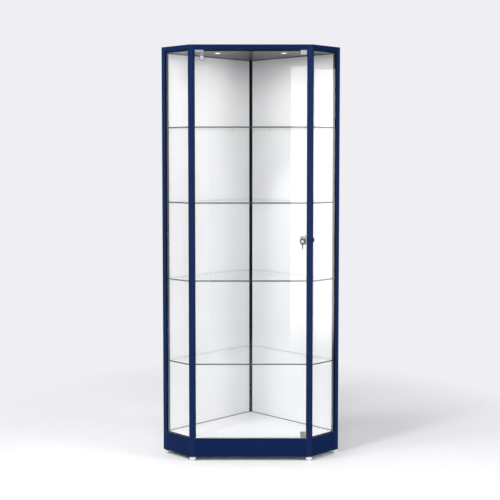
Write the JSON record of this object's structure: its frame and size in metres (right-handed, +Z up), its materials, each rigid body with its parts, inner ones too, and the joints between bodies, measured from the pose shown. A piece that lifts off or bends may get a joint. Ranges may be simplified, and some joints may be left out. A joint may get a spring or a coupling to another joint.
{
  "type": "corner display cabinet",
  "caption": "Tall five-sided glass display cabinet for a room corner, with a navy metal frame, glass shelves, a lockable hinged glass door and ceiling downlights.",
  "frame": {"origin": "on the floor, at the middle of the whole object's box seen from above", "axes": "+Z up, +Y from the door towards the rear corner, +X to the right of someone facing the door"},
  "size_m": [0.8598, 0.603, 1.98],
  "materials": {
    "navy_paint": "satin powder coat",
    "white_board": "white melamine-faced board",
    "grey_board": "grey laminate-faced board",
    "clear_glass": "clear toughened glass",
    "shelf_glass": "clear glass with green polished edges",
    "black_rubber": "matt",
    "black_plastic": "matt",
    "white_plastic": "gloss",
    "clear_plastic": "clear gloss",
    "satin_aluminium": "satin anodised",
    "chrome": "polished",
    "steel": "brushed",
    "black_steel": "black lacquer",
    "lamp_lens": "frosted, lit"
  },
  "bodies": {
    "cabinet": {"front_post_left": "navy_paint", "front_post_right": "navy_paint", "outer_post_left": "navy_paint", "outer_post_right": "navy_paint", "rear_post": "navy_paint", "top_rail_front": "navy_paint", "top_rail_side_left": "navy_paint", "top_rail_side_right": "navy_paint", "top_rail_back_left": "navy_paint", "top_rail_back_right": "navy_paint", "plinth_front": "navy_paint", "plinth_side_left": "navy_paint", "plinth_side_right": "navy_paint", "plinth_back_left": "navy_paint", "plinth_back_right": "navy_paint", "top_cover": "navy_paint", "deck_panel": "white_board", "back_panel_left": "white_board", "back_panel_right": "white_board", "ceiling_panel": "grey_board", "rear_corner_trim": "black_plastic", "side_glass_left": "clear_glass", "side_glass_right": "clear_glass", "side_glass_gaskets": "black_rubber", "door_seals": "black_rubber", "post_return_strips": "satin_aluminium", "glass_shelf_1": "shelf_glass", "glass_shelf_2": "shelf_glass", "glass_shelf_3": "shelf_glass", "glass_shelf_4": "shelf_glass", "shelf_supports": "clear_plastic", "magnetic_catches": "white_plastic", "pivot_blocks": "steel", "lock_keeper": "black_steel", "downlight_bezels": "white_plastic", "downlight_lenses": "lamp_lens", "downlight_housings": "satin_aluminium", "led_driver": "black_plastic", "power_inlet": "black_plastic", "lamp_leads": "black_plastic", "cover_screws": "navy_paint", "foot_inserts": "black_plastic"},
    "door": {"door_glass": "clear_glass", "hinge_top_shoe": "steel", "hinge_top_cap": "chrome", "hinge_bottom_shoe": "steel", "strike_clips": "steel", "lock_case": "chrome", "lock_back_plate": "steel", "lock_ring_nut": "steel"},
    "lock_barrel": {"lock_plug": "steel", "lock_cam": "steel", "key": "steel"},
    "ring": {"key_ring": "steel"},
    "spare": {"spare_key": "steel"},
    "foot_front_left": {"foot_front_left": "steel"},
    "foot_front_right": {"foot_front_right": "steel"},
    "foot_outer_left": {"foot_outer_left": "steel"},
    "foot_outer_right": {"foot_outer_right": "steel"},
    "foot_rear": {"foot_rear": "steel"}
  },
  "joints": [
    {"name": "door_swing", "type": "hinge", "parent": "cabinet", "child": "door", "pos_m": [-0.2545, -0.26335, 0.11], "axis": [0, 0, -1], "range_deg": [0, 100]},
    {"name": "lock_turn", "type": "hinge", "parent": "door", "child": "lock_barrel", "pos_m": [0.2446, -0.27585, 1.0695], "axis": [0, -1, 0], "range_deg": [0, 90]},
    {"name": "ring_swing", "type": "hinge", "parent": "lock_barrel", "child": "ring", "pos_m": [0.2446, -0.294, 1.0695], "axis": [-1, 0, 0], "range_deg": [-10, 70]},
    {"name": "spare_key_swing", "type": "hinge", "parent": "ring", "child": "spare", "pos_m": [0.2446, -0.294, 1.0445], "axis": [-1, 0, 0], "range_deg": [-10, 60]},
    {"name": "foot_front_left_height", "type": "slide", "parent": "cabinet", "child": "foot_front_left", "axis": [0, 0, -1], "range_m": [0, 0.012]},
    {"name": "foot_front_right_height", "type": "slide", "parent": "cabinet", "child": "foot_front_right", "axis": [0, 0, -1], "range_m": [0, 0.012]},
    {"name": "foot_outer_left_height", "type": "slide", "parent": "cabinet", "child": "foot_outer_left", "axis": [0, 0, -1], "range_m": [0, 0.012]},
    {"name": "foot_outer_right_height", "type": "slide", "parent": "cabinet", "child": "foot_outer_right", "axis": [0, 0, -1], "range_m": [0, 0.012]},
    {"name": "foot_rear_height", "type": "slide", "parent": "cabinet", "child": "foot_rear", "axis": [0, 0, -1], "range_m": [0, 0.012]}
  ]
}
